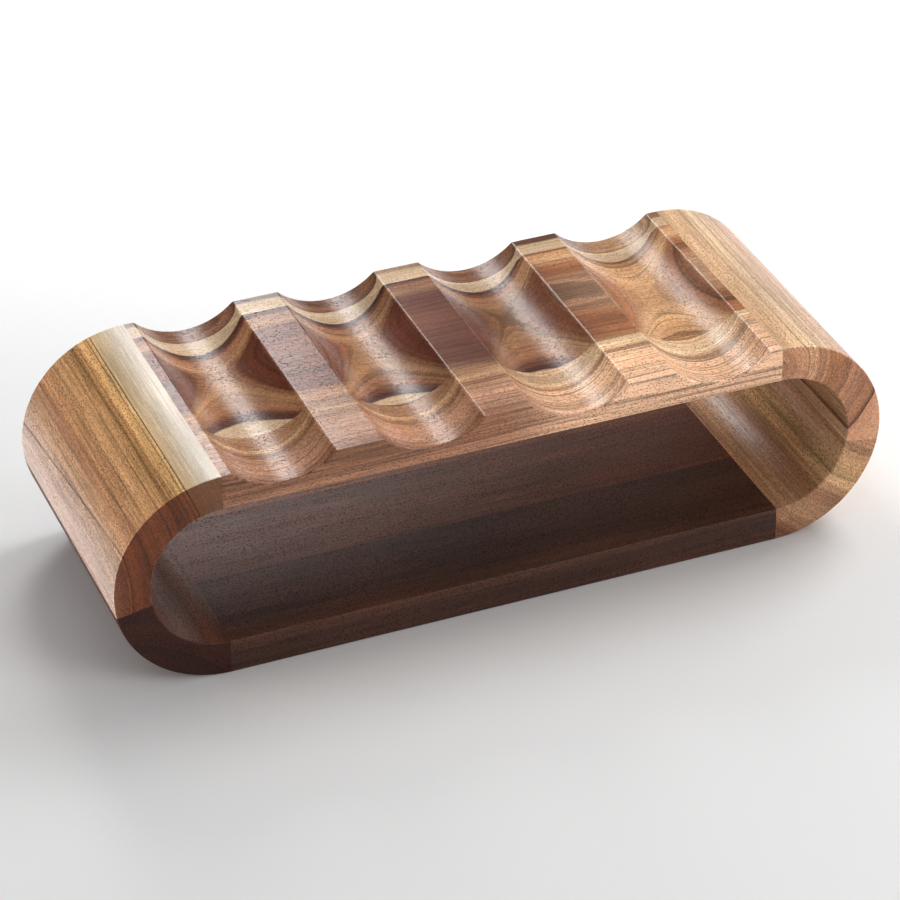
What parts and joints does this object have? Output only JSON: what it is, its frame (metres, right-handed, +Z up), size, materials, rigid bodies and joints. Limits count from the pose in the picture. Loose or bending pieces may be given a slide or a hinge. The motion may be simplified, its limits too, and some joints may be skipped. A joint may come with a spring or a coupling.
{
  "type": "wine rack",
  "caption": "Tabletop wine rack in solid wood: a ring with round ends, with a bottle tunnel right through it and bottle grooves across the top.",
  "frame": {"origin": "middle of the underside, at the bottom centre of the bounding box", "axes": "+X along the rack to the right as seen from the front, the front faces -Y, +Z up"},
  "size_m": [0.43, 0.16, 0.12],
  "materials": {
    "top_back_wood": "satin clear finish",
    "top_middle_wood": "satin clear finish",
    "top_front_wood": "satin clear finish",
    "bottom_wood": "satin clear finish",
    "left_upper_wood": "satin clear finish",
    "left_lower_wood": "satin clear finish",
    "right_upper_wood": "satin clear finish",
    "right_lower_wood": "satin clear finish",
    "dowel_wood": "bare"
  },
  "bodies": {
    "root": {"top_board_back_strip": "top_back_wood", "top_board_middle_strip": "top_middle_wood", "top_board_front_strip": "top_front_wood", "bottom_board_back_strip": "bottom_wood", "bottom_board_middle_strip": "bottom_wood", "bottom_board_front_strip": "bottom_wood", "left_end_upper_block": "left_upper_wood", "left_end_lower_block": "left_lower_wood", "right_end_upper_block": "right_upper_wood", "right_end_lower_block": "right_lower_wood", "top_left_dowel_1": "dowel_wood", "top_left_dowel_2": "dowel_wood", "top_left_dowel_3": "dowel_wood", "top_right_dowel_1": "dowel_wood", "top_right_dowel_2": "dowel_wood", "top_right_dowel_3": "dowel_wood", "bottom_left_dowel_1": "dowel_wood", "bottom_left_dowel_2": "dowel_wood", "bottom_left_dowel_3": "dowel_wood", "bottom_right_dowel_1": "dowel_wood", "bottom_right_dowel_2": "dowel_wood", "bottom_right_dowel_3": "dowel_wood"}
  },
  "joints": []
}
